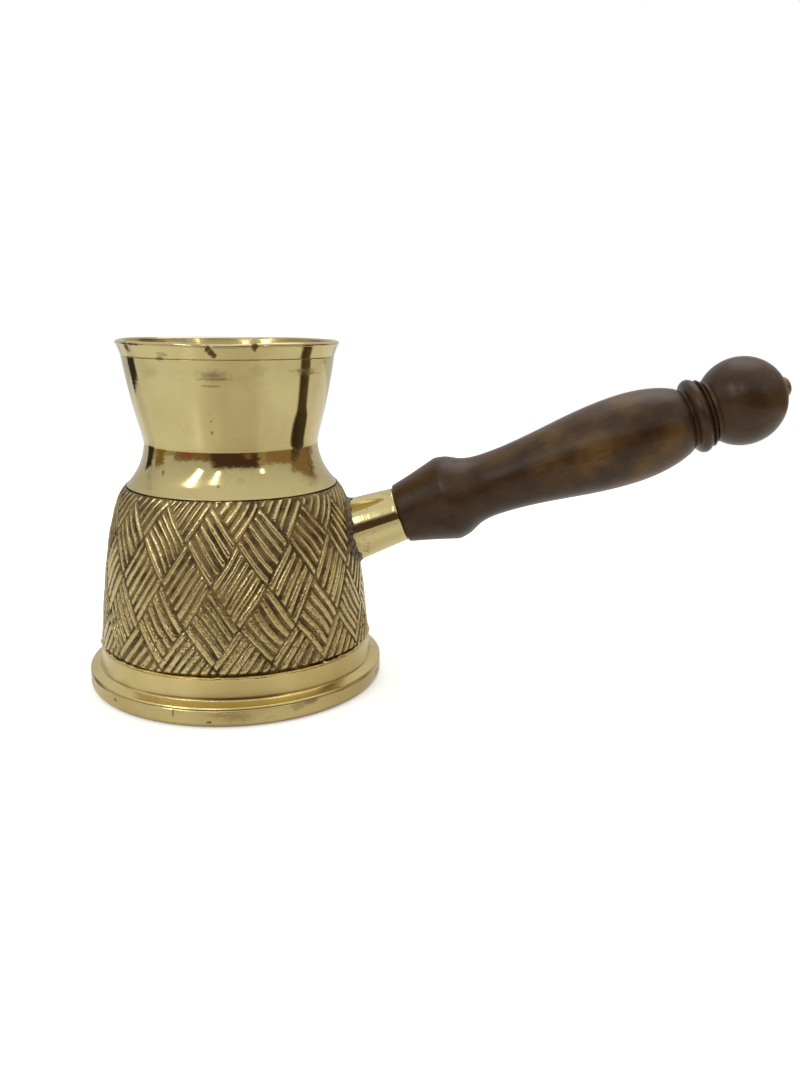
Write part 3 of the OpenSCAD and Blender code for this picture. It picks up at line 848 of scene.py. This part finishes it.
socket_brass, tree, shader, place = finish_shader("socket_brass")
turned = lie_along_handle(tree, place)
at_root = ease(tree, height_of(tree, turned), 42.5 * mm, 37.5 * mm)
brass = use(tree, handled_brass, Place=place, Bright=(0.66, 0.565, 0.295, 1),
            Deep=(0.60, 0.50, 0.24, 1), Stain=(0.12, 0.05, 0.025, 1),
            Crevice=times(tree, at_root, 0.5), Specks=0.22, Smudge=0.2)
rings_height = use(tree, lathe_marks, Place=turned, Fineness=1300.0)["Height"]
# Its stains: how far along the handle's axis, turn in degrees as in along_handle, and radius.
tube_mask = 0.0
for far, turn, radius in [(40.2, 214, 1.5), (40.0, 226, 1.4), (40.4, 193, 0.7), (43.4, 188, 0.5),
                          (44.2, 186, 0.45), (44.0, 139, 0.5), (41.0, 205, 1.0), (40.8, 262, 1.8)]:
    far, turn = np.array([far]), np.array([math.radians(turn)])
    centre = along_handle(far, socket_radius(far), turn)[0] * mm
    spot = use(tree, tarnish_spot, Place=place, Centre=tuple(centre), Radius=radius * mm,
               Flatten=(1, 1, 1))["Mask"]
    tube_mask = larger(tree, tube_mask, spot)
dotted = ease(tree, add(tree, "TexVoronoi", Vector=place, Scale=2300.0).outputs[0], 0.46, 0.30)
tube_mask = times(tree, times(tree, tube_mask, dotted), 0.85)
fine = plus(tree, times(tree, brass["Height"], 0.4), rings_height)
plug(tree, shader, Metallic=1.0, Roughness=plus(tree, brass["Roughness"], 0.05),
     Base_Color=blend_colours(tree, tube_mask, brass["Colour"], (0.12, 0.045, 0.02, 1)),
     Normal=bump(tree, fine, 0.06, 0.0002))
socket.data.materials.append(socket_brass)
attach(socket, "root")
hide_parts("handle_socket")

# The solder fillet runs round the root in a hollow curve from the wall to the tube, a little
# lumpy where it was fed in.
lumpy = 1 + 0.16 * np.sin(5 * turns + 0.7) + 0.12 * np.sin(11 * turns + 2) + 0.08 * np.sin(23 * turns)
fillet_width = 0.95
foot = root_distance(lambda far: socket_radius(far) + fillet_width, turns)
on_wall = along_handle(foot, socket_radius(foot) + fillet_width, turns)
on_tube = along_handle(root + 1.5 * lumpy, socket_radius(root + 1.5 * lumpy) + 0.02, turns)
corner = along_handle(root + 0.15, socket_radius(root) + 0.12, turns)
under = along_handle(root - 0.9, socket_radius(root) - 0.7, turns)
t = np.linspace(0, 1, 9)[:, None, None]
pull = 0.8 * corner + 0.1 * (on_wall + on_tube)
hollow = (1 - t) ** 2 * on_wall + 2 * (1 - t) * t * pull + t * t * on_tube
sink = along_handle(foot - 0.7, socket_radius(foot) + 0.7, turns)[None]
fillet = skin("socket_fillet", np.concatenate([sink, hollow, under[None]]) * mm, joined_up=True)
fillet.data.materials.append(solder_grey)
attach(fillet, "root")
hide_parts("socket_solder")

# ---------------------------------------------------------------------------------------------
# Wooden handle. One piece of hardwood, turned, stained dark and waxed: a cone to the shoulder,
# a waist, a long swell, a bead, a fine ring, a neck and a ball. Its tenon sits in the socket.
# ---------------------------------------------------------------------------------------------
bead_turn = np.radians(np.linspace(-78, 78, 13))[:, None]
bead = [8.2, 90.05] + np.hstack([2.7 * np.cos(bead_turn), 2.2 * np.sin(bead_turn)])
ball_middle, ball_radius = 103.73, 12.75
ball_turn = np.radians(np.linspace(-44, 74.5, 40))[:, None]
ball = [0, ball_middle] + ball_radius * np.hstack([np.cos(ball_turn), np.sin(ball_turn)])
wood_outline = np.vstack([
    softened([(2.2, -7), (5.7, -7), (6.5, -6.2), (6.5, -0.05), (8.3, 0.0), (8.75, 0.4), (9.0, 1.4)], 0.2),
    cubic((9.05, 1.6), (9.9, 5.4), (11.9, 12.4), (12.5, 14.3), 18)[:-1],
    cubic((12.42, 14.0), (12.6, 15.3), (12.35, 16.0), (12.1, 17.2), 6),
    cubic((12.1, 17.2), (11.3, 20.5), (9.25, 20.8), (9.25, 28.0), 20),
    cubic((9.25, 28), (9.25, 42.76), (13, 54.24), (13, 69), 40),
    cubic((13, 69), (13, 78.4), (10.6, 85.6), (8.3, 87.75), 24),
    bead,
    softened([(8.25, 92.35), (9.6, 92.42), (10.0, 92.75), (9.6, 93.12), (8.3, 93.25), (8.3, 93.65),
              (8.9, 93.8), (9.1, 94.3), (8.9, 94.75)], 0.12),
    ball,
    softened([(3.35, ball_middle + 12.32), (3.3, 115.9), (3.3, 113.8), (2.2, 113.68)], 0.1)])
wood_outline[:, 1] += socket_end
wood_rings = handle_rings(wood_outline, columns)
wood = skin("turned_handle", wood_rings * mm)
mark(wood, "crevice", np.repeat(crevices(wood_outline, 1.8, 0.9), columns))

walnut, tree, shader, place = finish_shader("stained_walnut")
turned = lie_along_handle(tree, place)
crevice = add(tree, "Attribute", {"attribute_name": "crevice"}).outputs["Fac"]
fibres = noise(tree, stretch(tree, turned, 1, 1, 0.05), 1400.0, 4.0, 0.6)
figure = noise(tree, stretch(tree, turned, 1, 1, 0.3), 170.0, 4.0, 0.6)
mottle = noise(tree, turned, 95.0, 3.0, 0.5)
# The stain has worn thin on the swell, where the hand holds it.
far_along = height_of(tree, turned)
held = times(tree, ease(tree, far_along, 72 * mm, 108 * mm),
             ease(tree, far_along, 142 * mm, 130 * mm))
worn = times(tree, ease(tree, mottle, 0.3, 0.75), plus(tree, 0.22, times(tree, held, 0.62)))
dark_wood = blend_colours(tree, ease(tree, figure, 0.2, 0.8), (0.023, 0.0105, 0.0045, 1),
                          (0.060, 0.028, 0.0105, 1))
warm_wood = blend_colours(tree, worn, dark_wood, (0.155, 0.080, 0.019, 1))
streaked = blend_colours(tree, times(tree, ease(tree, fibres, 0.5, 0.75), 0.5), warm_wood,
                         (0.01, 0.006, 0.004, 1))
# Painted shade: the wood is made darker, towards near black, the deeper a point lies in a crease.
crease_shaded_wood = blend_colours(tree, times(tree, ease(tree, crevice, 0.1, 0.8), 0.45), streaked,
                      (0.008, 0.005, 0.004, 1))
grooves = plus(tree, fibres, times(tree, figure, 0.6))
plug(tree, shader, Base_Color=crease_shaded_wood, Specular_IOR_Level=0.26,
     Roughness=plus(tree, ease(tree, mottle, 0.3, 0.7, 0.22, 0.32), times(tree, fibres, 0.10)),
     Normal=bump(tree, grooves, 0.12, 0.0002))
wood.data.materials.append(walnut)
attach(wood, "root")
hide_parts("wooden_handle")

# ---------------------------------------------------------------------------------------------
# Fixings. A steel rod screws into a brass plug in the socket and a domed brass nut draws the
# wood up against the socket. Only the nut's dome shows, in the end of the ball.
# ---------------------------------------------------------------------------------------------
nut_start = socket_end + 114.28
dome_turn = np.radians(np.linspace(0, 86, 12))[:, None]
dome = [0, nut_start + 2.2] + np.hstack([2.9 * np.cos(dome_turn), 1.6 * np.sin(dome_turn)])
nut_outline = np.vstack([[(0.3, nut_start), (2.7, nut_start), (2.9, nut_start + 0.2)], dome])
nut = skin("domed_nut", handle_rings(nut_outline, 48) * mm)
nut_brass, tree, shader, place = finish_shader("handled_nut_brass")
brass = use(tree, handled_brass, Place=place, Bright=(0.24, 0.165, 0.095, 1), Deep=(0.17, 0.11, 0.06, 1),
            Stain=(0.07, 0.04, 0.02, 1), Crevice=0.2, Specks=0.3, Smudge=0.6)
plug(tree, shader, Metallic=1.0, Base_Color=brass["Colour"],
     Roughness=plus(tree, brass["Roughness"], 0.42), Normal=bump(tree, brass["Height"], 0.2, 0.0002))
nut.data.materials.append(nut_brass)
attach(nut, "root")
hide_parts("end_nut")

drawn_steel, tree, shader, place = finish_shader("drawn_steel")
turned = lie_along_handle(tree, place)
streaks = noise(tree, stretch(tree, turned, 1, 1, 0.06), 2200.0, 3.0, 0.6)
rust = noise(tree, place, 260.0, 4.0, 0.6)
steel = blend_colours(tree, streaks, (0.32, 0.32, 0.32, 1), (0.55, 0.55, 0.56, 1))
plug(tree, shader, Metallic=1.0, Roughness=ease(tree, streaks, 0.2, 0.8, 0.3, 0.5),
     Base_Color=blend_colours(tree, ease(tree, rust, 0.55, 0.72), steel, (0.13, 0.06, 0.03, 1)),
     Normal=bump(tree, streaks, 0.2, 0.0002))
for node_name, finish in (("tie_rod", drawn_steel), ("rod_washer", drawn_steel),
                          ("rod_anchor", socket_brass)):
    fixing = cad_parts[node_name].data
    fixing.materials.clear()
    fixing.materials.append(finish)
